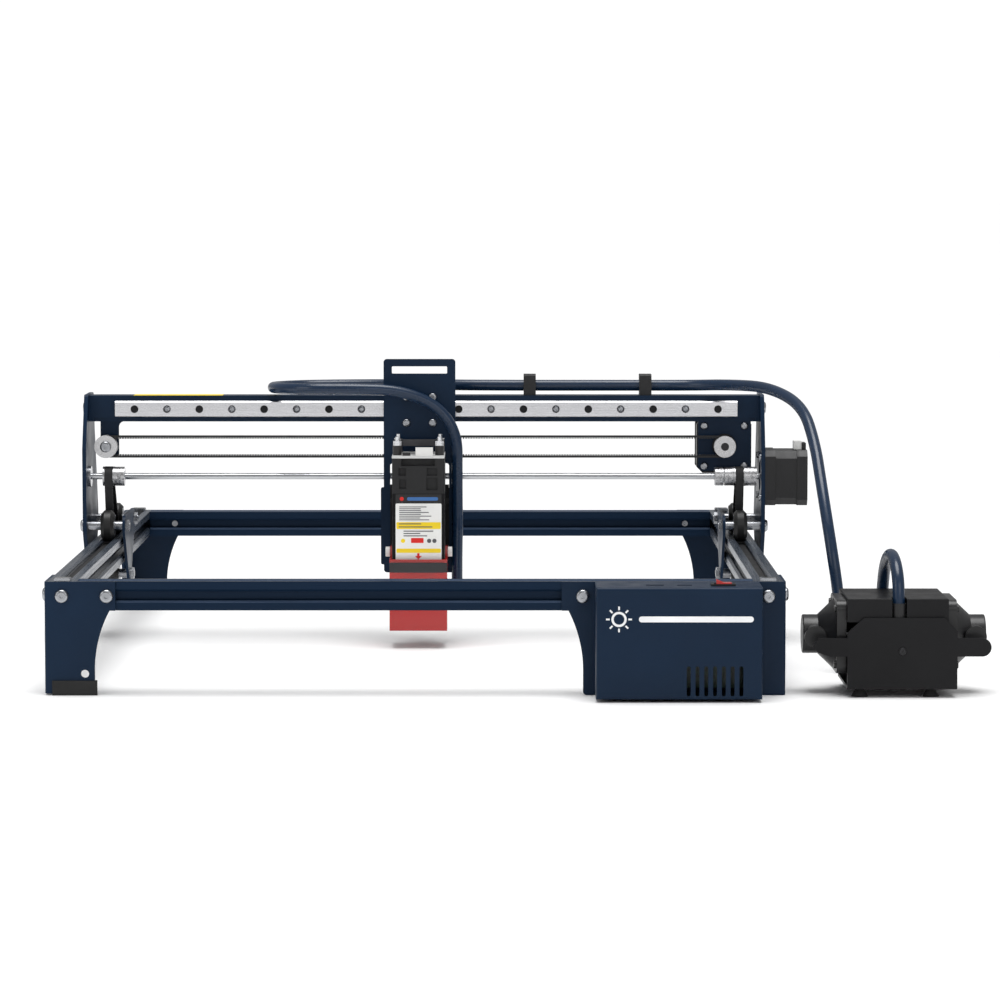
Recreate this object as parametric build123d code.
from build123d import *
import math
import os

os.makedirs("parts", exist_ok=True)

# A gantry laser cutter with its air pump. Millimetres: X to the right, Y to the back, Z up.
# The origin is on the table, under the middle of the frame.

# ---------------------------------------------------------------- frame sizes
frame_width = 511.0        # over the outer faces of the legs
frame_depth = 590.0        # front face of the front legs to rear face of the rear legs
frame_height = 78.5        # table to the top of the profiles
sheet = 2.0                # folded legs
profile = 20.0             # square V-slot profile
slot_mouth = 9.2           # slot width at the face
slot_throat = 6.2          # slot width between the lips
slot_lip = 1.8             # face to the underside of the lips
slot_cavity = 11.0         # slot width behind the lips
slot_depth = 6.1
profile_bore = 4.2         # tapped at both ends for M5
narrow_leg = 48.9          # width of three of the legs at the top
wide_leg = 154.5           # width of the front right leg, which carries the control box
leg_flange = 50.0          # side flange, front to back
foot_width = 34.5
foot_hole = 5.6
cap_height = 10.0          # rubber foot caps
cap_lift = 1.0             # rubber under the edge of the sheet

# ---------------------------------------------------------------- control box sizes
box_width = 113.2
box_inset = 18.5           # right side of the box to the right side of the frame
box_depth = 40.0
box_base = 2.0             # its lower edge above the table
box_wall = 1.5
vent_count = 7
vent_pitch = 5.97
vent_width = 2.7
vent_height = 20.6

# ---------------------------------------------------------------- gantry sizes
side_plate = 3.0
inner_plate = 2.0
side_gap = 5.6             # Y profile to side plate
inner_gap = 11.5           # middle of the Y profile to the inner plate
wheel_diameter = 23.9
wheel_width = 10.2
wheel_flat = 5.0
wheel_gap = 0.2            # wheel flank to slot bevel
axle = 5.0
running = 0.05             # radial clearance of a shaft in its bore
spacer_diameter = 7.0
beam_rise = 99.5           # top of the Y profiles to the middle of the X rail
beam_height = 20.0
beam_depth = 20.0
beam_sheet = 2.0
beam_front = 46.0          # Y of the beam's front face
front_axle_y = 30.0
rear_axle_y = 98.0
shaft_y = 40.6
shaft_rise = 47.5          # top of the Y profiles to the drive shaft
shaft_diameter = 5.0
rail_width = 12.0
rail_height = 8.0
rail_pitch = 25.0
rail_margin = 15.0
rail_shift = 1.6
belt_width = 6.0
belt_thickness = 1.3
motor_size = 42.3
motor_length = 32.5
motor_bolts = 31.0
y_pulley_radius = 6.2      # outside of the teeth
x_pulley_radius = 7.0
belt_play = 0.15           # belt to wheel or pulley
motor_drop = 29.0          # X rail to the X motor shaft

# ---------------------------------------------------------------- carriage and laser sizes
carriage_x = -3.4
carriage_width = 55.2
carriage_sheet = 3.0
block_height = 13.0        # beam face to carriage plate
block_length = 45.4
block_width = 27.0
laser_width = 39.8
laser_depth = 50.0
laser_front = -22.0        # Y of the laser's front face
laser_bottom = 58.5
laser_body = 59.0
fan_height = 26.7
fan_pitch = 32.0
shield_wall = 1.8
shield_height = 54.3
hose_diameter = 8.5

# ---------------------------------------------------------------- pump sizes
pump_gap = 76.2            # right side of the frame to the middle of the pump
pump_width = 69.5
pump_front = -309.0
pump_depth = 74.0
pump_top = 68.0
head_diameter = 27.0
head_z = 40.0
armature_play = 1.5

# ---------------------------------------------------------------- worked-out places
half_width = frame_width / 2
half_depth = frame_depth / 2
rail_x = half_width - sheet - profile / 2
rail_z = frame_height - profile / 2
profile_bottom = frame_height - profile
cross_y = half_depth - sheet - profile / 2
side_x = rail_x + profile / 2 + side_gap
inner_x = rail_x - inner_gap
wheel_radius = wheel_diameter / 2
wheel_height = wheel_radius + wheel_flat / 2 - slot_mouth / 2 + wheel_gap * math.sqrt(2)
upper_axle_z = frame_height + wheel_height
lower_axle_z = profile_bottom - wheel_height
lower_axle_y = (front_axle_y + rear_axle_y) / 2
beam_z = frame_height + beam_rise
beam_bottom = beam_z - beam_height / 2
beam_top = beam_z + beam_height / 2
rail_front = beam_front - rail_height
plate_back = beam_front - block_height
plate_front = plate_back - carriage_sheet
shaft_z = frame_height + shaft_rise
belt_y = rail_front + 3.0
x_motor_x = side_x - 27.0
x_idler_x = -(side_x - 13.4)
x_motor_z = beam_z - motor_drop
bracket_front = beam_front + beam_sheet
bracket_sheet = 2.5
box_right = half_width - box_inset
box_left = box_right - box_width
box_front = -half_depth - box_depth
pump_x = half_width + pump_gap
laser_y = laser_front + laser_depth / 2
laser_top = laser_bottom + laser_body
fan_top = laser_top + fan_height
laser_left = carriage_x - laser_width / 2
laser_right = carriage_x + laser_width / 2


# ---------------------------------------------------------------- helpers
def block(x0, x1, y0, y1, z0, z1):
    """A box between two corners."""
    return Pos((x0 + x1) / 2, (y0 + y1) / 2, (z0 + z1) / 2) * Box(x1 - x0, y1 - y0, z1 - z0)


TURN = {"X": Rot(0, 90, 0), "-X": Rot(0, -90, 0), "Y": Rot(-90, 0, 0), "-Y": Rot(90, 0, 0), "Z": Rot(0, 0,
                                                                                                     0),
        "-Z": Rot(180, 0, 0)}


def rod(radius, length, at, way="Z"):
    """A cylinder that starts at a point and runs one way."""
    return Pos(*at) * TURN[way] * Cylinder(radius, length, align=(Align.CENTER, Align.CENTER, Align.MIN))


def plate_xz(outline, y0, thickness):
    """A sheet drawn in X and Z, with its front face at y0."""
    return Pos(0, y0, 0) * extrude(Plane.XZ * outline, thickness, dir=(0, 1, 0))


def plate_yz(outline, x0, thickness):
    """A sheet drawn in Y and Z, with its left face at x0."""
    return Pos(x0, 0, 0) * extrude(Plane.YZ * outline, thickness, dir=(1, 0, 0))


def outline_of(*curves):
    """A face inside curves that join end to end."""
    edges = [edge for curve in curves for edge in curve.edges()]
    return make_face(edges)


def flip_x(shape):
    return mirror(shape, about=Plane.YZ)


def flip_y(shape):
    return mirror(shape, about=Plane.XZ)


def save(name, *pieces):
    """Write one node's STEP file, with each piece as a solid of its own."""
    solids = [solid for piece in pieces for solid in piece.solids()]
    whole = solids[0] if len(solids) == 1 else Compound(children=solids)
    whole.label = name
    export_step(whole, f"parts/{name}.step")
    print(f"{name}: {len(solids)} solids, {sum(solid.volume for solid in solids) / 1000:.2f} cm3")


def button_bolt(way, at, length, diameter=5.0, head=9.4, rise=2.7):
    """A domed cap screw: its head sits on a point and faces one way, its shank runs back."""
    dome = Cylinder(head / 2, rise, align=(Align.CENTER, Align.CENTER, Align.MIN))
    dome = fillet(dome.edges().sort_by(Axis.Z)[-1], rise * 0.7)
    socket = Pos(0, 0, rise - rise * 0.55) * extrude(RegularPolygon(diameter * 0.33, 6), rise)
    shank = Cylinder(diameter / 2, length, align=(Align.CENTER, Align.CENTER, Align.MAX))
    return Pos(*at) * TURN[way] * (dome - socket + shank)


def hex_nut(way, at, across, height, bore):
    """A nut that starts at a point and runs one way."""
    body = extrude(RegularPolygon(across / 2, 6, major_radius=False), height)
    return Pos(*at) * TURN[way] * (body - extrude(Circle(bore / 2), height))


def ring(outer, inner, width, at, way="X"):
    """A sleeve that starts at a point and runs one way."""
    return rod(outer, width, at, way) - rod(inner, width, at, way)


# ---------------------------------------------------------------- frame
def profile_bar(length):
    """A V-slot profile along Z, centred."""
    face, mouth, throat, cavity = profile / 2, slot_mouth / 2, slot_throat / 2, slot_cavity / 2
    bevel = mouth - throat
    floor_half = slot_depth - slot_lip - (cavity - 2.84) + 1.2
    slot = Polygon(
        (-mouth - 0.5, face + 0.5), (-throat, face - bevel), (-throat, face - slot_lip),
        (-cavity, face - slot_lip), (-cavity, face - slot_lip - 1.6), (-floor_half, face - slot_depth),
        (floor_half, face - slot_depth), (cavity, face - slot_lip - 1.6), (cavity, face - slot_lip),
        (throat, face - slot_lip), (throat, face - bevel), (mouth + 0.5, face + 0.5), align=None)
    section = Rectangle(profile, profile) - Circle(profile_bore / 2)
    for quarter in range(4):
        section -= Rot(0, 0, 90 * quarter) * slot
    return extrude(section, length / 2, both=True)


def arch_face(top_width, arch_width, toe_width, bottom):
    """One side of a leg, from its outer edge at 0: a wide head that narrows to a foot in an arc."""
    toe_height = 17.0
    drop = arch_width - toe_width
    rise = profile_bottom - toe_height
    radius = (drop ** 2 + rise ** 2) / (2 * drop)
    sweep_angle = math.asin(rise / radius)

    def on_arch(angle):
        return (toe_width + radius * (1 - math.cos(angle)), toe_height + radius * math.sin(angle))

    head = Polyline((toe_width, toe_height), (toe_width, bottom), (0, bottom), (0, frame_height),
                    (top_width, frame_height), (top_width, profile_bottom), on_arch(sweep_angle))
    arch = ThreePointArc(on_arch(sweep_angle), on_arch(sweep_angle / 2), (toe_width, toe_height))
    face = outline_of(head, arch)
    corners = face.vertices().filter_by(lambda v: abs(v.X - toe_width) < 0.01 and abs(v.Y - bottom) < 0.01)
    return fillet(corners, 2.5)


side_bolt_depths = (14.0, 36.0)


def narrow_leg_solid():
    """The front left leg: a front face and a side flange, folded from one sheet."""
    front = plate_xz(Pos(-half_width, 0) * arch_face(narrow_leg, 44.9, foot_width, cap_lift), -half_depth,
                     sheet)
    side = plate_yz(Pos(-half_depth, 0) * arch_face(leg_flange, 46.0, foot_width, cap_lift), -half_width,
                    sheet)
    leg = front + side
    corner = leg.edges().filter_by(Axis.Z).sort_by(lambda e: e.center().X + e.center().Y)[0]
    leg = fillet(corner, sheet * 0.9)
    leg -= rod(foot_hole / 2, sheet * 3, (-half_width + 27.7, -half_depth - sheet, 14.7), "Y")
    return drill_leg(leg, (-rail_x, -(half_width - 42.8)))


def drill_leg(leg, front_holes):
    """Bolt holes through the front face and the left flange."""
    for x in front_holes:
        leg -= rod(2.7, sheet * 3, (x, -half_depth - sheet, rail_z), "Y")
    for depth in side_bolt_depths:
        leg -= rod(2.7, sheet * 3, (-half_width - sheet, -half_depth + depth, rail_z), "X")
    return leg


def wide_leg_solid():
    """The front right leg, drawn on the left like the others and turned over."""
    front = plate_xz(Pos(-half_width, 0) * arch_face(wide_leg, wide_leg - 4.7, wide_leg - 14.8, 0.0),
                     -half_depth, sheet)
    side = plate_yz(Pos(-half_depth, 0) * arch_face(leg_flange, 46.0, foot_width, 0.0), -half_width, sheet)
    leg = front + side
    corner = leg.edges().filter_by(Axis.Z).sort_by(lambda e: e.center().X + e.center().Y)[0]
    leg = fillet(corner, sheet * 0.9)
    return flip_x(drill_leg(leg, (-rail_x, -(half_width - 140.0))))


left_leg = narrow_leg_solid()
right_leg = wide_leg_solid()
rear_legs = [flip_y(left_leg), flip_x(flip_y(left_leg))]
save("front_left_leg", left_leg)
save("front_right_leg", right_leg)
save("rear_legs", *rear_legs)

cross_length = 2 * (rail_x - profile / 2)
cross_beams = [Pos(0, side * cross_y, rail_z) * Rot(0, 90, 0) * profile_bar(cross_length) for side in
    (-1, 1)]
save("cross_beams", *cross_beams)

y_rail_length = frame_depth - 2 * sheet
y_rails = [Pos(side * rail_x, 0, rail_z) * Rot(90, 0, 0) * profile_bar(y_rail_length) for side in (-1, 1)]
save("y_rails", *y_rails)


def foot_cap():
    """A rubber shoe pushed on to the lower edge of the front left leg."""
    cap = block(-half_width + 5, -half_width + foot_width + 1.5, -half_depth - 1.5,
                -half_depth + sheet + 1.5,
                0, cap_height)
    cap = fillet(cap.edges().filter_by(Axis.Z), 1.2)
    return cap - left_leg


# the pump stands on four small rubber cones, each on a plain stem
pump_base = 5.8
pump_feet = []
for foot_x in (pump_x - 25.5, pump_x + 23.5):
    for foot_y in (pump_front + 9, pump_front + pump_depth - 9):
        foot = Pos(foot_x, foot_y, 0) * Cone(5.8, 2.4, pump_base, align=(Align.CENTER, Align.CENTER,
                                                                         Align.MIN))
        pump_feet.append(foot)
save("rubber_feet", foot_cap(), flip_y(foot_cap()), flip_x(flip_y(foot_cap())), *pump_feet)


def tee_nut(way, at):
    """A small nut that sits behind the lips of a slot."""
    return Pos(*at) * TURN[way] * (Pos(0, 0, 1.2) * Box(7.4, 7.4, 2.2) - rod(2.55, 8, (0, 0, -4)))


def frame_bolts():
    """Screws that hold the legs to the profiles, their slot nuts, and the pump's screws."""
    pieces = []
    head_y = half_depth
    for side in (-1, 1):
        way = "-Y" if side < 0 else "Y"
        inward = "Y" if side < 0 else "-Y"
        for x in (-rail_x, rail_x):
            pieces.append(button_bolt(way, (x, side * head_y, rail_z), 12.0, profile_bore - 0.1))
        second = (-(half_width - 42.8), half_width - (140.0 if side < 0 else 42.8))
        for x in second:
            pieces.append(button_bolt(way, (x, side * head_y, rail_z), 7.5))
            pieces.append(tee_nut(inward, (x, side * (head_y - sheet - slot_lip - 0.1), rail_z)))
        for depth in side_bolt_depths:
            for hand in (-1, 1):
                out_way, in_way = ("-X", "X") if hand < 0 else ("X", "-X")
                y = side * (half_depth - depth)
                pieces.append(button_bolt(out_way, (hand * half_width, y, rail_z), 7.5))
                pieces.append(tee_nut(in_way, (hand * (half_width - sheet - slot_lip - 0.1), y, rail_z)))
    for x in (-(half_width - 42.8), half_width - 42.8):
        slot_floor = half_depth - sheet - profile + slot_depth
        pieces.append(rod(2.4, 2.2, (x, slot_floor, rail_z), "-Y") - rod(1.1, 1.4, (x, slot_floor - 1.2,
                                                                                    rail_z), "-Y"))
    pieces.append(button_bolt("-Y", (pump_x + 3.0, pump_front, 32.0), 2.8, 3.0, 5.2, 1.2))
    return pieces


save("frame_bolts", *frame_bolts())

# ---------------------------------------------------------------- Y belts
belt_depth = 3.7           # face of the profile to the belt lying in its slot
slot_belt = block(rail_x - belt_width / 2, rail_x + belt_width / 2, -half_depth + sheet + 1,
                  half_depth - sheet - 1,
                  frame_height - belt_depth - belt_thickness, frame_height - belt_depth)
save("y_belts", slot_belt, flip_x(slot_belt))


def belt_clamp_end():
    """A bright clamp on the front end of the right profile, which pins the belt in its slot."""
    y0 = -half_depth + sheet
    top = block(rail_x - 5.6, rail_x + 5.6, y0 + 0.5, y0 + 10.5, frame_height, frame_height + 2.2)
    top = fillet(top.edges().filter_by(Axis.Y).group_by(Axis.Z)[-1], 1.2)
    stem = block(rail_x - slot_throat / 2 + 0.2, rail_x + slot_throat / 2 - 0.2, y0 + 2.5, y0 + 8.5,
                 frame_height - belt_depth, frame_height)
    return top + stem


clamp_end = belt_clamp_end()
save("belt_end_clamps", clamp_end, flip_x(clamp_end), flip_y(clamp_end), flip_x(flip_y(clamp_end)))

# ---------------------------------------------------------------- control box
switch_x, switch_y = box_right - 26.2, box_front + 18.0
switch_length, switch_width = 14.0, 9.0
rocker_tilt = 12.0


def control_box_cover():
    """A folded cover, open at the back against the wide leg, with vents, ports and a switch hole."""
    shell = block(box_left, box_right, box_front, -half_depth, box_base, frame_height)
    front_edges = shell.edges().filter_by(lambda e: abs(e.center().Y - box_front) < 0.01)
    shell = fillet(front_edges, 2.0)
    shell -= block(box_left + box_wall, box_right - box_wall, box_front + box_wall, -half_depth + 1,
                   box_base + box_wall, frame_height - box_wall)
    vent = plate_xz(SlotOverall(vent_height, vent_width, rotation=90), box_front - 1, box_wall + 2)
    for number in range(vent_count):
        x = box_right - 14.4 - number * vent_pitch
        shell -= Pos(x, 0, 4.3 + vent_height / 2) * vent
    for x0, width in ((box_left + 34.4, 12.2), (box_left + 55.7, 10.2)):
        shell -= block(x0, x0 + width, switch_y - 2.2, switch_y + 2.2, frame_height - 5, frame_height + 1)
    shell -= block(switch_x - switch_length / 2, switch_x + switch_length / 2, switch_y - switch_width / 2,
                   switch_y + switch_width / 2, frame_height - 5, frame_height + 1)
    return shell


save("control_box_cover", control_box_cover())


def control_board():
    """The control board on four pillars, with its driver modules, sockets and heat sinks."""
    back = -half_depth
    board_back = back - 5.0
    board = block(box_left + 6, box_right - 6, board_back - 1.6, board_back, 6, frame_height - 14)
    pieces = []
    for x in (box_left + 10, box_right - 10):
        for z in (10, frame_height - 18):
            pieces.append(rod(2.5, 5.0, (x, board_back, z), "Y"))
            board -= rod(1.6, 4, (x, board_back - 2, z), "Y")
    face = board_back - 1.6
    parts = [(24, 10, 30, 14, 6), (44, 10, 30, 14, 6), (64, 26, 44, 16, 3), (16, 12, 52, 8, 7), (36, 10,
                                                                                                 50, 6, 8)]
    for x, width, z, height, depth in parts:
        pieces.append(block(box_left + x, box_left + x + width, face - depth, face, z, z + height))
    for x0, width in ((box_left + 34.9, 11.2), (box_left + 56.2, 9.2)):
        socket = block(x0, x0 + width, switch_y - 1.9, face, frame_height - 18,
                       frame_height - box_wall - 0.3)
        throat = block(x0 + 1, x0 + width - 1, switch_y - 1.2, switch_y + 1.2, frame_height - 12,
                       frame_height)
        pieces.append(socket - throat)
    return [board] + pieces


save("control_board", *control_board())


def switch_body():
    """The rocker switch's housing: a bezel on the cover and a well below it."""
    half_l, half_w = switch_length / 2, switch_width / 2
    bezel = block(switch_x - half_l - 1.4, switch_x + half_l + 1.4, switch_y - half_w - 1.2,
                  switch_y + half_w + 1.2, frame_height, frame_height + 1.2)
    well = block(switch_x - half_l + 0.1, switch_x + half_l - 0.1, switch_y - half_w + 0.1,
                 switch_y + half_w - 0.1, frame_height - 12, frame_height)
    inside = block(switch_x - half_l + 0.9, switch_x + half_l - 0.9, switch_y - half_w + 0.9,
                   switch_y + half_w - 0.9, frame_height - 9, frame_height + 2)
    body = bezel + well - inside
    return body - rod(0.8 + running, switch_width - 0.8, (switch_x, switch_y - half_w + 0.4,
                                                          frame_height), "Y")


save("switch_body", switch_body())


def power_rocker():
    """The red rocker: two flats that meet at its pivot, stored with its left side up."""
    half_l = switch_length / 2 - 1.6
    half_w = switch_width / 2 - 1.1
    flats = Polygon((-half_l, 3.0), (-half_l + 1.0, -1.4), (0, -3.2), (half_l - 1.0, -1.4), (half_l, 3.0),
                    (0, 1.9),
                    align=None)
    body = Rot(0, rocker_tilt, 0) * plate_xz(flats, -half_w, 2 * half_w)
    pin = rod(0.8, switch_width - 1.0, (0, -(switch_width - 1.0) / 2, 0), "Y")
    return Pos(switch_x, switch_y, frame_height) * (body + pin)


save("power_rocker", power_rocker())

# ---------------------------------------------------------------- pump
pump_left = pump_x - pump_width / 2
pump_right = pump_x + pump_width / 2
pump_rear = pump_front + pump_depth
lid_bottom = 55.0
nozzle_x, nozzle_y = pump_x + 0.9, pump_front + 6.5


def pump_chassis():
    """A folded tray: front and rear cheeks joined by a floor. The front cheek has two lifting ears."""
    left, right = pump_left - 0.1, pump_right + 6.0
    cheek = Polygon((left, pump_base), (right, pump_base), (right, 46), (right - 8.8, lid_bottom),
                    (left + 11.4, lid_bottom), (left + 1.2, 46), (left, 44.5), align=None)
    ear_z, ear_half = 34.7, 6.3
    ears = Polygon((left, ear_z - ear_half), (left, ear_z + ear_half), (left - 20, ear_z + ear_half),
                   (left - 23.5, ear_z + 1), (left - 20.5, ear_z - 3.5), (left - 12,
                                                                          ear_z - ear_half), align=None)
    ears += Pos((right + right + 17) / 2, ear_z) * Rectangle(17, 2 * ear_half)
    ears += Pos(right + 17, ear_z) * Circle(ear_half)
    front = plate_xz(cheek + ears - Pos(pump_x + 3.0, 32.0) * Circle(1.55), pump_front, 2.0)
    rear = plate_xz(cheek, pump_rear - 2.0, 2.0)
    floor_plate = block(left, right, pump_front, pump_rear, pump_base, pump_base + 2)
    return front + rear + floor_plate


def pump_lid():
    """A shallow cover between the cheeks, with a notch for the hose."""
    front, rear, low = pump_front + 2.1, pump_rear - 2.1, lid_bottom - 3.1
    lid = block(pump_left, pump_right, front, rear, low, pump_top)
    lid = fillet(lid.edges().group_by(Axis.Z)[-1], 0.8)
    lid -= block(pump_left + 1.5, pump_right - 1.5, front + 1.5, rear - 1.5, low - 1, pump_top - 1.5)
    notch_half = hose_diameter / 2 + 0.8
    return lid - block(nozzle_x - notch_half, nozzle_x + notch_half, pump_front - 1, nozzle_y + notch_half,
                       low - 1, pump_top + 1)


head_block = 6.5
head_cone = 11.5


def pump_head():
    """The right head: a square flange, a cone and a round valve chamber, hollow for the diaphragm."""
    x0 = pump_right + 0.1
    y = (pump_front + pump_rear) / 2
    flange = block(x0, x0 + head_block, y - 28, y + 28, 15, 66)
    flange = fillet(flange.edges().filter_by(Axis.X), 7)
    cone = Pos(x0 + head_block, y, head_z) * TURN["X"] * Cone(
        24.5, head_diameter / 2, head_cone, align=(Align.CENTER, Align.CENTER, Align.MIN))
    chamber = rod(head_diameter / 2, head_block + head_cone + 10.5, (x0, y, head_z), "X")
    chamber = fillet(chamber.edges().sort_by(Axis.X)[-1], 1.0)
    body = flange + cone + chamber
    for dy in (-22, 22):
        for z in (21, 60):
            body += rod(2.6, 1.6, (x0 + head_block, y + dy, z), "X")
    front_tee = rod(7.5, 16, (x0 + head_block + head_cone + 2.5, y - 20, head_z), "Y")
    body += front_tee
    return body - rod(11.0, head_block + head_cone + 4, (x0 - 1, y, head_z), "X")


def pump_core():
    """The iron yoke with a coil on each of its two limbs."""
    y = (pump_front + pump_rear) / 2
    yoke = block(pump_x - 20, pump_x + 20, y - 19, y + 19, pump_base + 2, 52)
    yoke -= block(pump_x - 21, pump_x + 21, y - 12, y + 12, 16, 53)
    coils = []
    for side in (-1, 1):
        y0, y1 = sorted((y + side * 19, y + side * 27))
        coil = block(pump_x - 15, pump_x + 15, y0, y1, 17, 46)
        coils.append(fillet(coil.edges().filter_by(Axis.Y), 3))
    return [yoke] + coils


def pump_armature():
    """A magnet on a rod, with a rubber diaphragm at each end: it shuttles along X."""
    y = (pump_front + pump_rear) / 2
    half = pump_width / 2 + head_block + 3.0
    bar = rod(3.0, 2 * half, (pump_x - half, y, head_z), "X")
    magnet = block(pump_x - 15, pump_x + 15, y - 9, y + 9, head_z - 8, head_z + 8)
    disc = rod(10.0, 2.0, (pump_x + half - 2.0, y, head_z), "X")
    other = rod(10.0, 2.0, (pump_x - half, y, head_z), "X")
    return bar + magnet + disc + other


def pump_nozzle():
    """The outlet: a block on the floor of the tray and a sleeve that grips the hose."""
    foot_top = 46.9
    stub = rod(hose_diameter / 2 - 1.2, foot_top - pump_base - 2, (nozzle_x, nozzle_y + 0.4,
                                                                   pump_base + 2), "Z")
    sleeve = ring(hose_diameter / 2 + 0.6, hose_diameter / 2 + 0.05, 9.6, (nozzle_x, nozzle_y,
                                                                           lid_bottom), "Z")
    return [stub, sleeve]


save("pump_chassis", pump_chassis())
save("pump_lid", pump_lid())
right_head = pump_head()
left_head = Pos(2 * pump_x, 0, 0) * flip_x(right_head)
save("pump_heads", left_head, right_head)
save("pump_core", *pump_core())
save("pump_armature", pump_armature())
save("pump_nozzle", *pump_nozzle())

# ---------------------------------------------------------------- gantry
between_plates = 2 * side_x
rail_holes = int((between_plates - 30) // rail_pitch)
rail_length = (rail_holes - 1) * rail_pitch + 2 * rail_margin
axles = [(front_axle_y, upper_axle_z), (rear_axle_y, upper_axle_z), (lower_axle_y, lower_axle_z)]
hole_xs = [rail_shift - rail_length / 2 + rail_margin + number * rail_pitch for number in range(rail_holes)]
block_bolts = [(dx, dz) for dx in (-10.1, 10.1) for dz in (-10.0, 10.0)]


def x_beam():
    """A folded channel between the side plates: front web, top and rear lip, with a pad at each end."""
    web = block(-side_x, side_x, beam_front, bracket_front, beam_bottom + 2.8, beam_top)
    web += block(-side_x, side_x, beam_front + 0.5, bracket_front, beam_bottom, beam_bottom + 2.8)
    top = block(-side_x, side_x, beam_front, beam_front + beam_depth, beam_top - beam_sheet, beam_top)
    lip = block(-side_x, side_x, beam_front + beam_depth - beam_sheet, beam_front + beam_depth,
                beam_top - 12, beam_top)
    beam = web + top + lip
    for side in (-1, 1):
        x0, x1 = sorted((side * side_x, side * (side_x - 3.0)))
        beam += block(x0, x1, beam_front, beam_front + beam_depth, beam_bottom, beam_top)
        beam -= rod(2.6, 12, (side * side_x - 6, beam_front + 11, beam_z), "X")
    for x in hole_xs:
        beam -= rod(1.6, 6, (x, beam_front - 1, beam_z), "Y")
    return beam


def x_rail():
    """A profiled linear rail: a groove along each flank and a row of counterbored holes."""
    half = rail_width / 2
    groove = 0.8
    section = Polygon(
        (rail_front, -half + 0.5), (rail_front + 0.5, -half), (rail_front + 2.6, -half),
        (rail_front + 3.4, -half + groove), (rail_front + 4.6, -half + groove), (rail_front + 5.4, -half),
        (beam_front, -half), (beam_front, half), (rail_front + 5.4, half), (rail_front + 4.6,
                                                                            half - groove),
        (rail_front + 3.4, half - groove), (rail_front + 2.6, half), (rail_front + 0.5, half),
        (rail_front, half - 0.5), align=None)
    bar = Pos(0, 0, beam_z) * plate_yz(section, rail_shift - rail_length / 2, rail_length)
    for x in hole_xs:
        bar -= rod(3.0, 5.5, (x, rail_front - 1, beam_z), "Y")
        bar -= rod(1.75, 10, (x, rail_front, beam_z), "Y")
    return bar


def side_outline():
    """A side plate in Y and Z: narrow at the beam, wide at the wheels, and round at the lower wheel."""
    points = [(38, beam_top + 1), (80, beam_top + 1), (86, beam_bottom - 6), (rear_axle_y + 11,
                                                                              upper_axle_z + 8),
              (rear_axle_y + 11, upper_axle_z - 5), (lower_axle_y + 13, lower_axle_z - 9),
              (lower_axle_y - 13, lower_axle_z - 9), (front_axle_y - 10, upper_axle_z - 5),
              (front_axle_y - 10, beam_bottom - 20)]
    face = Polygon(*points, align=None)
    return fillet(face.vertices(), 3.0)


def side_plates():
    """Two outer plates: the left one holds the shaft's bearing, the right one the Y motor."""
    outline = side_outline()
    for y, z in axles:
        outline -= Pos(y, z) * Circle(axle / 2 + 0.15)
    outline -= Pos(beam_front + 11, beam_z) * Circle(2.6)
    left_face = outline - Pos(shaft_y, shaft_z) * Circle(8.0)
    right_face = outline - Pos(shaft_y, shaft_z) * Circle(11.2)
    for dy in (-motor_bolts / 2, motor_bolts / 2):
        for dz in (-motor_bolts / 2, motor_bolts / 2):
            right_face -= Pos(shaft_y + dy, shaft_z + dz) * Circle(1.6)
    return [plate_yz(left_face, -side_x - side_plate, side_plate), plate_yz(right_face, side_x, side_plate)]


def inner_plates():
    """Two small triangular plates on the inner ends of the wheel axles."""
    outline = make_hull([edge for y, z in axles for edge in (Pos(y, z) * Circle(8.0)).edges()])
    for y, z in axles:
        outline -= Pos(y, z) * Circle(axle / 2 + 0.15)
    right = plate_yz(outline, inner_x - inner_plate, inner_plate)
    return [flip_x(right), right]


def wheel_axles():
    """For each wheel a screw, a spacer on each side of the wheel and a lock nut."""
    pieces = []
    wheel_out = rail_x + wheel_width / 2
    wheel_in = rail_x - wheel_width / 2
    for y, z in axles:
        right = [button_bolt("X", (side_x + side_plate, y, z), side_x + side_plate - inner_x + 5.4, axle),
                 ring(spacer_diameter / 2, axle / 2 + 0.02, side_x - wheel_out - 0.1, (wheel_out + 0.1, y,
                                                                                       z)),
                 ring(spacer_diameter / 2, axle / 2 + 0.02, wheel_in - inner_x - 0.1, (inner_x, y, z)),
                 hex_nut("-X", (inner_x - inner_plate, y, z), 8.0, 3.0, axle + 0.04)]
        pieces += right + [flip_x(piece) for piece in right]
    return pieces


def v_wheel(x, y, z):
    """A plastic wheel with bevelled flanks on a pair of ball bearings, drawn as one steel sleeve."""
    half = wheel_width / 2
    edge = wheel_radius - (half - wheel_flat / 2)
    tyre = Polygon((-half, 8.0), (-half, edge), (-wheel_flat / 2, wheel_radius), (wheel_flat / 2,
                                                                                  wheel_radius),
                   (half, edge), (half, 8.0), align=None)
    hub = Polygon((-half, axle / 2 + running), (-half, 8.0), (half, 8.0), (half, axle / 2 + running),
                  align=None)
    return [Pos(x, y, z) * revolve(face, Axis.X) for face in (tyre, hub)]


def stepper(at, way, boss_radius, hole_radius):
    """A stepper motor: square body with cut corners, end caps and a pilot boss, its shaft way open."""
    body = extrude(chamfer(Rectangle(motor_size, motor_size).vertices(), 4.5), motor_length)
    waist = Rectangle(motor_size, motor_size) - chamfer(
        Rectangle(motor_size - 1.0, motor_size - 1.0).vertices(), 5.5)
    body -= Pos(0, 0, 8) * extrude(waist, motor_length - 16)
    pilot = Cylinder(boss_radius, 2.0, align=(Align.CENTER, Align.CENTER, Align.MAX))
    bore = Cylinder(hole_radius, 24, align=(Align.CENTER, Align.CENTER, Align.CENTER))
    return Pos(*at) * TURN[way] * (body + pilot - bore)


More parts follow.
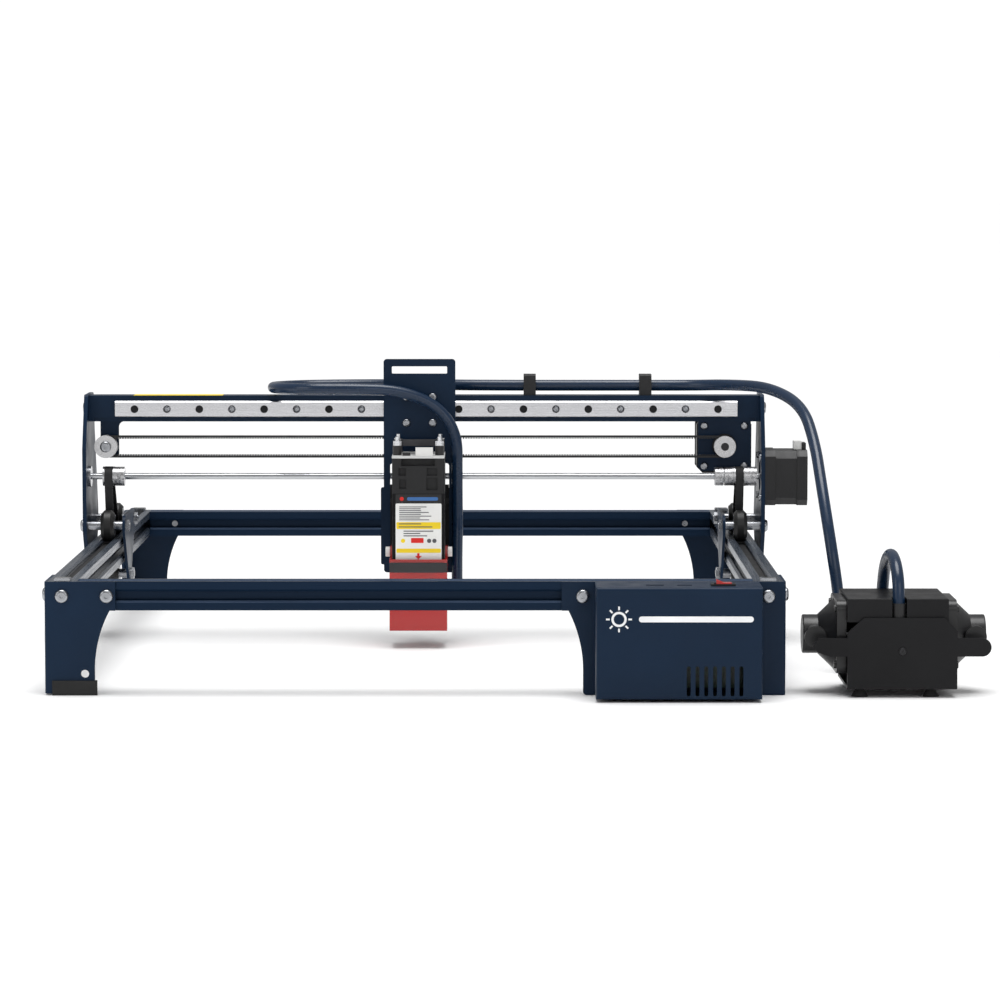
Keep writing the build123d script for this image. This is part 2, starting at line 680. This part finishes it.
def belt_brackets():
    """The X motor's plate and the idler's tab, both screwed to the back of the beam's web."""
    top = beam_top - beam_sheet - 0.5
    left, right, bottom = x_motor_x - 20.3, x_motor_x + 20.5, x_motor_z - 19.6
    motor_plate = Polygon((left, bottom), (right, bottom), (right, top), (left, top), align=None)
    low = motor_plate.vertices().group_by(Axis.Y)[0].sort_by(Axis.X)
    motor_plate = fillet([low[0]], 5.0)
    low = motor_plate.vertices().sort_by(lambda v: v.Y - v.X)[:1]
    motor_plate = fillet(low, 1.5)
    motor_plate -= Pos(x_motor_x, x_motor_z) * Circle(9.4)
    for dx in (-motor_bolts / 2, motor_bolts / 2):
        for dz in (-motor_bolts / 2, motor_bolts / 2):
            motor_plate -= Pos(x_motor_x + dx, x_motor_z + dz) * Circle(1.6)
    tab_left, tab_right, tab_bottom = x_idler_x - 5.0, x_idler_x + 9.2, x_motor_z - 7.9
    wide = tab_right + 12
    tab = Polygon((tab_left, tab_bottom), (tab_right, tab_bottom), (tab_right, beam_bottom),
    (wide, beam_bottom),
                  (wide, top), (tab_left, top), align=None)
    inner = tab.vertices().filter_by(lambda v: abs(v.X - tab_right) < 0.1 and abs(v.Y - beam_bottom) < 0.1)
    tab = fillet(inner, 4.5)
    tab -= Pos(x_idler_x, x_motor_z) * Circle(2.6)
    return [plate_xz(motor_plate, bracket_front, bracket_sheet), plate_xz(tab, bracket_front,
                                                                          bracket_sheet)]


idler_front = belt_y - 4.2
idler_back = belt_y + 4.4


def gantry_screws():
    """Rail screws in every second hole, motor screws, beam screws with nuts, and the idler's axle."""
    pieces = []
    for x in hole_xs[1::2]:
        pieces.append(button_bolt("-Y", (x, rail_front + 4.5, beam_z), 7.0, 3.0, 5.6, 2.6))
    for d1 in (-motor_bolts / 2, motor_bolts / 2):
        for d2 in (-motor_bolts / 2, motor_bolts / 2):
            pieces.append(button_bolt("-Y", (x_motor_x + d1, bracket_front, x_motor_z + d2),
                                      bracket_sheet, 3.0,
                                      5.6, 1.8))
            pieces.append(button_bolt("-X", (side_x, shaft_y + d1, shaft_z + d2), side_plate, 3.0, 5.6,
                                      1.8))
    for side, way, back in ((-1, "-X", "X"), (1, "X", "-X")):
        pieces.append(button_bolt(way, (side * (side_x + side_plate), beam_front + 11, beam_z), 10.0))
        pieces.append(hex_nut(back, (side * (side_x - 3.0), beam_front + 11, beam_z), 8.0, 4.0, 5.04))
    pieces.append(button_bolt("-Y", (x_idler_x, idler_front - 0.2, x_motor_z),
                              bracket_front + bracket_sheet - idler_front + 1.5, axle, 8.6, 2.5))
    pieces.append(ring(4.0, axle / 2 + 0.02, bracket_front - idler_back - 0.3,
                       (x_idler_x, idler_back + 0.3, x_motor_z), "Y"))
    return pieces


def x_belt():
    """The X belt: a flat loop round the pulley and the idler."""
    middle, span = (x_motor_x + x_idler_x) / 2, x_motor_x - x_idler_x
    inner = x_pulley_radius + belt_play
    outer = inner + belt_thickness
    loop = SlotCenterToCenter(span, 2 * outer) - SlotCenterToCenter(span, 2 * inner)
    return plate_xz(Pos(middle, x_motor_z) * loop, belt_y - belt_width / 2, belt_width)


def band(arcs, half, lead):
    """A strip along arcs joined by tangent lines: each arc is (centre, radius, from, to)."""
    sides = ([], [])
    for (cy, cz), radius, start, end in arcs:
        left_turn = end > start
        for index, offset in enumerate((-half, half)):
            r = radius + (offset if left_turn else -offset)
            points = [(cy + r * math.cos(a), cz + r * math.sin(a)) for a in (start, (start + end) / 2, end)]
            sides[index].append(points)
    (y0, z0), (y1, z1) = sides[0][0][0], sides[1][0][0]
    (y2, z2), (y3, z3) = sides[0][-1][2], sides[1][-1][2]
    curves = [Polyline((y0, z0), (y0 - lead, z0), (y1 - lead, z1), (y1, z1)),
              Polyline((y2, z2), (y2 + lead, z2), (y3 + lead, z3), (y3, z3))]
    for side in sides:
        for points in side:
            curves.append(ThreePointArc(*points))
        for first, second in zip(side, side[1:]):
            curves.append(Line(first[2], second[0]))
    return outline_of(*curves)


def y_belt_loops():
    """The part of each Y belt that leaves its slot to run under the wheels and over the pulley."""
    half = belt_thickness / 2
    wheel_r = wheel_radius + belt_play + half
    pulley_r = y_pulley_radius + belt_play + half
    pulley = (shaft_y, shaft_z)

    def tangent(wheel_y):
        dy, dz = abs(shaft_y - wheel_y), shaft_z - upper_axle_z
        run = math.sqrt(dy * dy + dz * dz - (wheel_r + pulley_r) ** 2)
        return math.atan2(dz, shaft_y - wheel_y if wheel_y < shaft_y else wheel_y - shaft_y) \
            - math.atan2(run, wheel_r + pulley_r)

    front, rear = tangent(front_axle_y), tangent(rear_axle_y)
    arcs = [((front_axle_y, upper_axle_z), wheel_r, -math.pi / 2, front),
            (pulley, pulley_r, front + math.pi, -rear),
            ((rear_axle_y, upper_axle_z), wheel_r, math.pi - rear, 1.5 * math.pi)]
    face = band(arcs, half, 4.0)
    right = plate_yz(face, rail_x - belt_width / 2, belt_width)
    return [flip_x(right), right]


clip_xs = (81.5, 171.0)
hose_lift = 7.5            # beam to the middle of the hose
hose_y = beam_front + 10.2
hose_radius = hose_diameter / 2


def hose_clip(x):
    """A plastic clip on the beam: two prongs with the hose between them."""
    gap = hose_radius + 0.2
    clip = block(x - 4.7, x + 4.7, hose_y - gap - 2.4, hose_y + gap + 2.4, beam_top, beam_top + 16.3)
    clip = fillet(clip.edges().filter_by(Axis.X).group_by(Axis.Z)[-1], 2.0)
    cut = rod(gap, 12, (x - 6, hose_y, beam_top + hose_lift), "X")
    cut += block(x - 6, x + 6, hose_y - gap + 0.8, hose_y + gap - 0.8, beam_top + hose_lift, beam_top + 20)
    return clip - cut


def y_motor():
    """The Y motor outside the right plate, with its plug socket and plug on top."""
    motor = stepper((side_x + side_plate, shaft_y, shaft_z), "X", 11.0, shaft_diameter / 2 + 0.5)
    top = shaft_z + motor_size / 2
    end = side_x + side_plate + motor_length
    socket = block(end - 3.6, end - 0.4, shaft_y - 8, shaft_y + 8, top, top + 5)
    plug = block(end - 9.6, end - 3.7, shaft_y - 7, shaft_y + 7, top, top + 6.5)
    return [motor, socket, plug]


save("x_beam", x_beam())
save("x_rail", x_rail())
save("side_plates", *side_plates())
save("inner_plates", *inner_plates())
save("wheel_axles", *wheel_axles())
save("belt_brackets", *belt_brackets())
save("x_motor", stepper((x_motor_x, bracket_front + bracket_sheet, x_motor_z), "Y", 9.2,
                        shaft_diameter / 2 + 0.5))
save("y_motor", *y_motor())
save("gantry_screws", *gantry_screws())
save("x_belt", x_belt())
save("y_belt_loops", *y_belt_loops())
save("hose_clips", *[hose_clip(x) for x in clip_xs])
save("shaft_bearing", ring(8.0, shaft_diameter / 2 + running, 5.0, (-side_x - side_plate, shaft_y,
                                                                    shaft_z)))
for side_name, side in (("left", -1), ("right", 1)):
    for place, (wheel_y, wheel_z) in zip(("front", "rear", "lower"), axles):
        save(f"{side_name}_{place}_wheel", *v_wheel(side * rail_x, wheel_y, wheel_z))

# ---------------------------------------------------------------- drive shaft
coupling_left = side_x - 35.0
coupling_length = 14.6
coupling_middle = coupling_left + coupling_length / 2
shaft_gap = 0.6


def drive_shaft():
    """The long shaft in its bearing and the motor's own shaft, end to end in the coupling."""
    long_shaft = rod(shaft_diameter / 2, coupling_middle - shaft_gap + side_x + side_plate,
                     (-side_x - side_plate, shaft_y, shaft_z), "X")
    motor_end = side_x + side_plate + 9.0
    motor_shaft = rod(shaft_diameter / 2, motor_end - coupling_middle - shaft_gap,
                      (coupling_middle + shaft_gap, shaft_y, shaft_z), "X")
    return [long_shaft, motor_shaft]


def belt_pulley(x, hub_side, hub_length):
    """A toothed pulley between two flanges, with a hub on one side and a set screw in it."""
    flange, face = 1.2, belt_width + 0.8
    bore = shaft_diameter / 2
    body = ring(y_pulley_radius, bore, face, (x - face / 2, shaft_y, shaft_z))
    for x0 in (x - face / 2 - flange, x + face / 2):
        body += ring(7.6, bore, flange, (x0, shaft_y, shaft_z))
    x0 = x + face / 2 + flange if hub_side > 0 else x - face / 2 - flange - hub_length
    hub = ring(7.4, bore, hub_length, (x0, shaft_y, shaft_z))
    hub -= rod(1.4, 10, (x0 + hub_length / 2, shaft_y - 2.6, shaft_z), "-Y")
    return body + hub


def shaft_coupling():
    """A slit aluminium coupling that clamps both shaft ends."""
    body = ring(7.2, shaft_diameter / 2, coupling_length, (coupling_left, shaft_y, shaft_z))
    body = chamfer(body.edges().filter_by(GeomType.CIRCLE).sort_by(Axis.X)[:1], 0.5)
    for x in (coupling_left + 4.4, coupling_left + coupling_length - 4.4):
        body -= rod(1.4, 10, (x, shaft_y - 2.6, shaft_z), "-Y")
    slit = block(coupling_middle - 0.35, coupling_middle + 0.35, shaft_y - 9, shaft_y + 5, shaft_z - 9,
                 shaft_z + 9)
    return body - (slit - rod(4.0, 2, (coupling_middle - 1, shaft_y, shaft_z), "X"))


save("drive_shaft", *drive_shaft())
right_hub = side_x - 0.4 - (rail_x + belt_width / 2 + 1.6)
save("y_pulleys", belt_pulley(-rail_x, 1, 7.5), belt_pulley(rail_x, 1, min(8.5, right_hub)))
save("shaft_coupling", shaft_coupling())


def x_pulley(x, radius, flange_radius, bore, front, back):
    """A pulley or idler for the X belt: a belt track between two flanges."""
    body = ring(radius, bore, back - front, (x, front, x_motor_z), "Y")
    body += ring(flange_radius, bore, 1.1, (x, front, x_motor_z), "Y")
    track_back = belt_y + belt_width / 2 + 0.4
    return body + ring(flange_radius, bore, 1.1, (x, min(track_back, back - 1.1), x_motor_z), "Y")


x_shaft = rod(shaft_diameter / 2, 24.0, (x_motor_x, idler_front + 0.6, x_motor_z), "Y")
save("x_drive_pulley", x_pulley(x_motor_x, x_pulley_radius, 8.35, shaft_diameter / 2, idler_front,
                                bracket_front - 1.0),
     x_shaft)
save("x_idler", x_pulley(x_idler_x, x_pulley_radius, 8.8, axle / 2 + running, idler_front, idler_back))

# ---------------------------------------------------------------- carriage
plate_left = carriage_x - carriage_width / 2
plate_right = carriage_x + carriage_width / 2
plate_bottom = laser_bottom - 6.2
plate_top = beam_top + 29.0
guide_bottom, guide_top = laser_bottom + 3.5, laser_bottom + 78.3
guide_width = 4.2
guide_xs = (laser_left - 2.8 + guide_width / 2, laser_right + 2.8 - guide_width / 2)


def carriage_plate():
    """The tall plate on the rail block, with a grip slot at its top and two guide slots for the laser."""
    face = Pos(carriage_x, (plate_bottom + plate_top) / 2) * RectangleRounded(
        carriage_width, plate_top - plate_bottom, 2.5)
    face -= Pos(carriage_x, plate_top - 8.4) * RectangleRounded(42.5, 5.6, 0.8)
    for dx, dz in block_bolts:
        face -= Pos(carriage_x + dx, beam_z + dz) * Circle(1.7)
    for x in guide_xs:
        face -= Pos(x, (guide_bottom + guide_top) / 2) * SlotOverall(guide_top - guide_bottom,
                                                                     guide_width, rotation=90)
    return plate_xz(face, plate_front, carriage_sheet)


def rail_block():
    """The ball block that runs on the X rail, with an end seal at each end."""
    x0, x1 = carriage_x - block_length / 2, carriage_x + block_length / 2
    y1 = plate_back + 10.0
    seal = 3.5
    z0, z1 = beam_z - block_width / 2, beam_z + block_width / 2
    play = 0.1
    channel = block(x0 - 1, x1 + 1, rail_front - play, y1 + 1, beam_z - rail_width / 2 - play,
                    beam_z + rail_width / 2 + play)
    middle = block(x0 + seal, x1 - seal, plate_back, y1, z0, z1)
    middle = chamfer(middle.edges().filter_by(Axis.X), 0.8)
    for dx, dz in block_bolts:
        middle -= rod(1.6, 4, (carriage_x + dx, plate_back - 1, beam_z + dz), "Y")
    seals = [block(a, b, plate_back + 0.6, y1 - 0.2, z0 + 1, z1 - 1) - channel
             for a, b in ((x0, x0 + seal), (x1 - seal, x1))]
    return [middle - channel] + seals


def belt_clamp():
    """A clamp behind the plate: two jaws with the upper run of the X belt between them."""
    run_z = x_motor_z + x_pulley_radius + belt_play
    body = block(carriage_x - 10, carriage_x + 10, plate_back, belt_y + belt_width / 2 + 2, run_z - 5,
                 run_z + 5.5)
    return body - block(carriage_x - 11, carriage_x + 11, belt_y - belt_width / 2 - 0.3,
                        belt_y + belt_width / 2 + 0.3, run_z - 0.3, run_z + belt_thickness + 0.3)


save("carriage_plate", carriage_plate())
save("rail_block", *rail_block())
save("belt_clamp", belt_clamp())
save("carriage_bolts", *[button_bolt("-Y", (carriage_x + dx, plate_front, beam_z + dz), 5.5, 3.0, 6.0, 2.2)
                         for dx, dz in block_bolts])

# ---------------------------------------------------------------- laser
laser_back = laser_front + laser_depth
strip = plate_front - laser_back
elbow_x, elbow_y, elbow_z = laser_right + 9.0, 18.0, laser_bottom - 16.5


def laser_housing():
    """The finned aluminium body: cooling fins down both sides and a bore for the laser tube."""
    body = block(laser_left, laser_right, laser_front, laser_back, laser_bottom, laser_top)
    body = fillet(body.edges().filter_by(Axis.Z), 1.0)
    for y in range(int(laser_front) + 6, int(laser_back) - 4, 5):
        for x0, x1 in ((laser_left - 1, laser_left + 5), (laser_right - 5, laser_right + 1)):
            body -= block(x0, x1, y, y + 2.4, laser_bottom + 22, laser_top + 1)
    body -= rod(8.0, laser_body - 12, (carriage_x, laser_y, laser_bottom - 1), "Z")
    for side in (-1, 1):
        x = carriage_x + side * laser_width / 2
        body -= rod(1.52, 9, (x - 4.5, 0, knob_z), "X")
    return body


def mounting_strip():
    """A strip between the laser and the carriage plate, which slides on the plate."""
    face = Pos(carriage_x, laser_bottom + 34) * Rectangle(laser_width + 5.4, 56)
    for x, z in guide_bolts:
        face -= Pos(x, z) * Circle(2.05)
    return plate_xz(face, laser_back, strip - 0.05)


knob_z = laser_bottom + 12.9
guide_bolts = [(x, laser_bottom + z) for x in guide_xs for z in (14.0, 49.5)]


def focus_clamp():
    """The plate behind the carriage plate that the guide screws pull on."""
    left, right = plate_left - 2.4, carriage_x + laser_width / 2 + 3.2
    face = Pos((left + right) / 2, laser_bottom + 29.6) * RectangleRounded(right - left, 59.8, 1.5)
    for x, z in guide_bolts:
        face -= Pos(x, z) * Circle(2.05)
    return plate_xz(face, plate_back + 0.1, 2.0)


def module_screws():
    """Guide screws through the slots and the two white thumb screws that hold the shield."""
    pieces = []
    for x, z in guide_bolts:
        pieces.append(button_bolt("Y", (x, plate_back + 2.1, z), plate_back + 2.1 - laser_back - 0.1, 4.0,
                                  6.6, 1.6))
    reach = shield_wall + 0.3
    for side, way in ((-1, "-X"), (1, "X")):
        x = carriage_x + side * (laser_width / 2 + reach)
        knob = rod(3.8, 3.4, (x, 0, knob_z), way)
        knob = fillet(knob.edges().filter_by(GeomType.CIRCLE), 0.5)
        back = "X" if side < 0 else "-X"
        pieces.append(knob + rod(1.5, reach + 4.0, (x, 0, knob_z), back))
    return pieces


def cooling_fan():
    """The fan's shroud on top of the body: a square duct with four recesses in its front."""
    body = block(laser_left, laser_right, laser_front, laser_back, laser_top, fan_top)
    body = fillet(body.edges().filter_by(Axis.Z), 1.5)
    duct = rod(18.6, fan_height - 4.5, (carriage_x, laser_y, laser_top + 4.5), "Z")
    body -= duct
    for x0, x1, z0, z1 in ((-15, -9.2, 13.6, 19.4), (6.4, 14.4, 13.6, 19.4), (-14.6, -9.2, 3.6, 10.8),
                           (6.2, 14.6, 2.6, 12.0)):
        body -= block(carriage_x + x0, carriage_x + x1, laser_front - 1, laser_front + 2.2, laser_top + z0,
                      laser_top + z1)
    body -= block(carriage_x - 13, carriage_x + 12.5, laser_front - 1, laser_front + 5, fan_top - 5.8,
                  fan_top + 1)
    spokes = block(carriage_x - 18.8, carriage_x + 18.8, laser_y - 1.2, laser_y + 1.2, laser_top + 4.5,
                   laser_top + 6.5)
    spokes += block(carriage_x - 1.2, carriage_x + 1.2, laser_y - 18.8, laser_y + 18.8, laser_top + 4.5,
                    laser_top + 6.5)
    pivot = rod(1.5, 9.0, (carriage_x, laser_y, laser_top + 6.5), "Z")
    return body + spokes + pivot


def fan_rotor():
    """Seven raked blades on a hub that turns on the shroud's pin."""
    z0 = laser_top + 8.0
    hub = rod(8.5, 11.0, (carriage_x, laser_y, z0), "Z")
    blade = Pos(12.6, 0, 5.2) * Rot(38, 0, 0) * Box(9.4, 12.0, 1.0)
    rotor = hub
    for number in range(7):
        rotor += Pos(carriage_x, laser_y, z0) * Rot(0, 0, 360 / 7 * number) * blade
    return rotor - rod(1.5 + running, 8.6, (carriage_x, laser_y, z0 - 1), "Z")


board_bottom = fan_top
board_top = board_bottom + 1.8


def driver_board():
    """The driver board on the fan, its plug and parts, and four black pillars with a bar between two."""
    board = block(laser_left, laser_right, laser_front, laser_back, board_bottom, board_top)
    board -= rod(14.0, 3, (carriage_x, laser_y + 4, board_bottom - 0.5), "Z")
    plug = block(carriage_x - 2.0, carriage_x + 11.1, laser_front + 1, laser_front + 7, board_top,
                 board_top + 6.2)
    plug -= block(carriage_x - 0.8, carriage_x + 9.9, laser_front + 2.2, laser_front + 5.8, board_top + 1.5,
                  board_top + 7)
    chip = block(carriage_x - 12, carriage_x - 6, laser_front + 1.5, laser_front + 6, board_top,
                 board_top + 2.2)
    pillars, nuts = [], []
    for dx in (-fan_pitch / 2, fan_pitch / 2):
        for dy in (-fan_pitch / 2, fan_pitch / 2):
            pillars.append(rod(3.4, 7.5, (carriage_x + dx, laser_y + dy, board_top), "Z"))
            at = (carriage_x + dx, laser_y + dy, board_top + 7.5)
            nut = hex_nut("Z", at, 5.5, 3.4, 1.0) + rod(1.5, 6.6, at, "Z")
            nuts.append(nut)
    bar = block(carriage_x - 13.1, carriage_x + 13.1, laser_y + 14, laser_y + 18, board_top + 5,
                board_top + 10)
    for dx in (-fan_pitch / 2, fan_pitch / 2):
        bar -= rod(3.5, 7.6, (carriage_x + dx, laser_y + fan_pitch / 2, board_top), "Z")
    return [board, plug, chip, bar] + pillars + nuts


def air_nozzle():
    """A cone under the lens with an elbow that takes the hose."""
    body = Pos(carriage_x, laser_y, laser_bottom - 9) * Cylinder(
        12.0, 9.0, align=(Align.CENTER, Align.CENTER, Align.MIN))
    cone = Pos(carriage_x, laser_y, laser_bottom - 21) * Cone(
        3.0, 10.0, 12.0, align=(Align.CENTER, Align.CENTER, Align.MIN))
    arm = rod(3.6, elbow_x - carriage_x, (carriage_x, elbow_y, elbow_z), "X")
    arm += rod(3.6, elbow_y - laser_y, (carriage_x, laser_y, elbow_z), "Y")
    socket = rod(4.2, 8.0, (elbow_x, elbow_y, elbow_z - 4), "Z")
    body = body + cone + arm + socket
    return body - rod(6.0, 9.5, (carriage_x, laser_y, laser_bottom - 9), "Z") - rod(
        1.2, 14, (carriage_x, laser_y, laser_bottom - 22), "Z")


def laser_lens():
    """A round lens in the nozzle, under the diode's brass sleeve in the housing."""
    lens = rod(5.95, 2.5, (carriage_x, laser_y, laser_bottom - 3), "Z")
    sleeve = rod(7.9, 30.0, (carriage_x, laser_y, laser_bottom + 2), "Z")
    return [lens, sleeve]


shield_top = laser_bottom + 9.3
shield_bottom = shield_top - shield_height
shield_play = 0.15
shield_half = laser_width / 2 + shield_play
shield_front = laser_front - 4.3
shield_back = 10.0
shield_lift = 10.0         # how far the shield can be pushed up


def laser_shield():
    """A red window folded round the laser's lower end, with slotted ears for the thumb screws."""
    outer = shield_half + shield_wall
    front = block(carriage_x - outer, carriage_x + outer, shield_front, shield_front + shield_wall,
                  shield_bottom,
                  shield_top)
    shell = front
    for side in (-1, 1):
        x0, x1 = sorted((carriage_x + side * shield_half, carriage_x + side * outer))
        shell += block(x0, x1, shield_front, shield_back, shield_bottom, shield_top)
        ear = block(x0, x1, -5.0, 5.0, shield_top - 12, knob_z + 4.5)
        slot_low = knob_z - shield_lift - 1.7
        ear_slot = block(x0 - 1, x1 + 1, -1.75, 1.75, slot_low, knob_z + 1.7)
        shell += ear
        shell -= ear_slot
    magnet = block(carriage_x - 19.2, carriage_x + 19.2, shield_front - 1.2, shield_front, shield_top - 10,
                   shield_top - 2.5)
    return [shell, magnet]


save("laser_housing", laser_housing(), mounting_strip())
save("focus_clamp", focus_clamp())
save("module_screws", *module_screws())
save("cooling_fan", cooling_fan())
save("fan_rotor", fan_rotor())
save("driver_board", *driver_board())
save("air_nozzle", air_nozzle())
save("laser_lens", *laser_lens())
save("laser_shield", *laser_shield())

# ---------------------------------------------------------------- air hose
# Three lengths of one hose: pump to gantry, gantry to carriage, and down the carriage to the nozzle.
supply_route = [
    (332.6, -302.5, 47), (332.6, -302.5, 73), (332.0, -292.8, 87.5), (331.0, -275.4, 95), (330.0, -255.6,
                                                                                           94),
    (328.9, -238.4, 84), (328.4, -228.5, 67), (327.5, -227, 44), (324.6, -219, 22), (320, -207, 8.5),
    (314, -191, 6), (308, -175, 13), (304.5, -163, 32), (303.5, -157, 56), (298.5, -152, 90),
    (293.8, -124, 130),
    (291.5, -88, 160), (285, -50, 186), (263, -6, 197.5), (235, 33, 197.2), (206, 56.2, 195.5),
    (171, 56.2, 195.5)]
drag_route = [
    (171, 56.2, 195.5), (52, 56.2, 195.5), (2, 72, 195.2), (-44, 92, 194.2), (-92.4, 95, 193.6),
    (-117, 69.4, 193.8), (-117, 34.6, 194.5), (-92.4, 10, 195.2), (-55, 8, 195.4), (-18, 13, 194),
    (11, 18, 182),
    (25.7, 18, 160), (25.7, 18, 132)]
drop_route = [(25.7, 18, 132), (25.7, 18, 112), (26.0, 17.0, 92), (elbow_x, elbow_y, 70),
    (elbow_x, elbow_y, elbow_z + 4)]


def hose(route):
    """A tube along straight runs joined by tangent arcs, each as large as its two runs allow."""
    radii = []
    for before, here, after in zip(route, route[1:], route[2:]):
        run_in, run_out = Vector(*here) - Vector(*before), Vector(*after) - Vector(*here)
        turn = math.radians(run_in.get_angle(run_out))
        radii.append(0.45 * min(run_in.length, run_out.length) / math.tan(turn / 2))
    path = FilletPolyline(*route, radius=radii)
    tube = sweep(Plane(origin=path @ 0, z_dir=path % 0) * Circle(hose_radius), path=path)
    expected = math.pi * hose_radius ** 2 * path.length
    print("  hose", round(path.length, 1), "mm, tightest", round(min(radii), 1), "mm, volume ratio",
          round(tube.volume / expected, 4))
    return tube


save("hose_supply", hose(supply_route))
save("hose_drag", hose(drag_route))
save("hose_drop", hose(drop_route))
